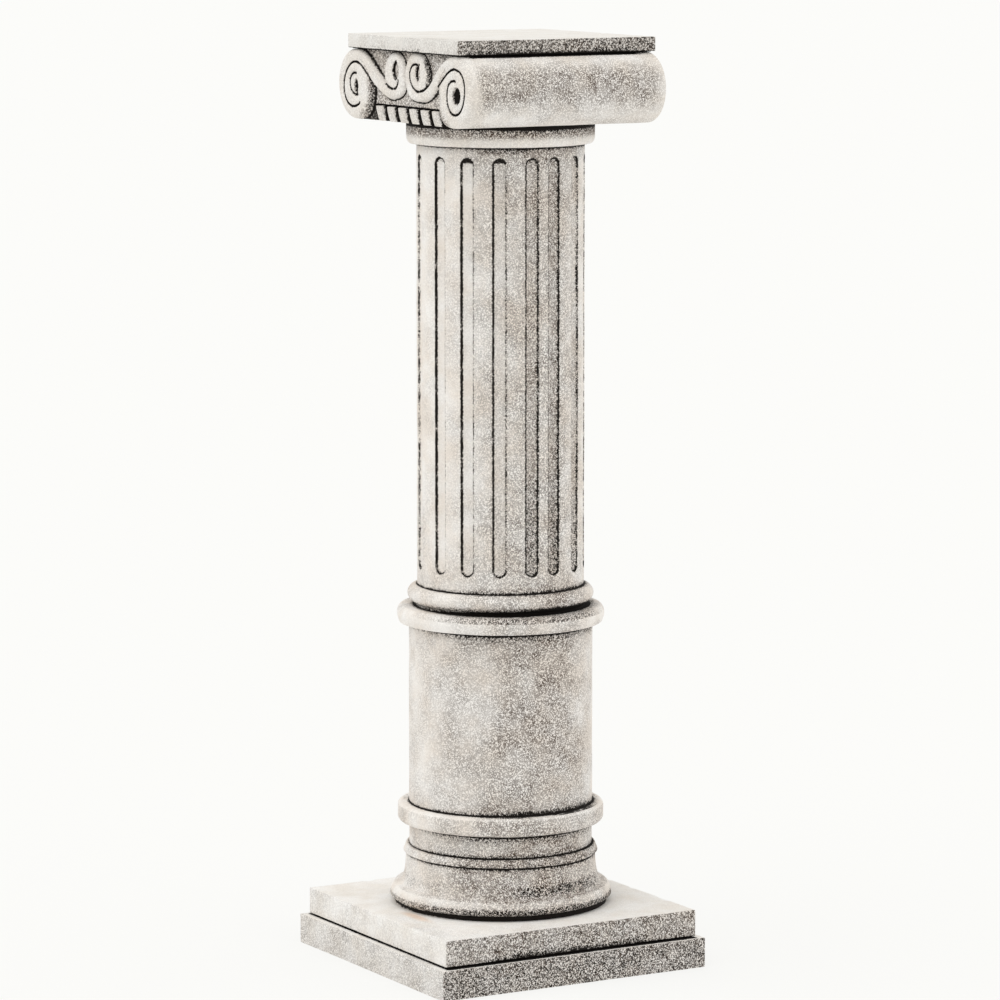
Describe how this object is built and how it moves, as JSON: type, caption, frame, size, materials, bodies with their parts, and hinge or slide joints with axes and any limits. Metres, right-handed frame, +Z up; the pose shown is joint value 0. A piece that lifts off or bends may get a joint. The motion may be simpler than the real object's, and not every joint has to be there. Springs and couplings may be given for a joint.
{
  "type": "ionic column pedestal",
  "caption": "Free-standing cast-stone column pedestal: stepped square plinth, moulded drum, fluted shaft, scroll capital with side rolls and a flat abacus to stand things on.",
  "frame": {"origin": "middle of the underside of the lower plinth slab", "axes": "+Z up along the column; the carved scroll faces look towards -Y and +Y; the side rolls of the capital lie along Y at -X and +X"},
  "size_m": [0.32, 0.32, 0.989],
  "materials": {
    "plinth_stone": "matt cast stone, fine-grained, with grey-brown stipple and dark joints",
    "drum_stone": "matt cast stone, fine-grained, with grey-brown stipple",
    "shaft_stone": "matt cast stone, fine-grained, with dark patina along the flutes",
    "capital_stone": "matt pale cast stone with dark patina in the carving",
    "abacus_stone": "matt pale cast stone"
  },
  "bodies": {
    "root": {"lower_plinth_slab": "plinth_stone", "upper_plinth_slab": "plinth_stone", "pedestal_drum": "drum_stone", "fluted_shaft": "shaft_stone", "scroll_capital": "capital_stone", "abacus_slab": "abacus_stone"}
  },
  "joints": []
}
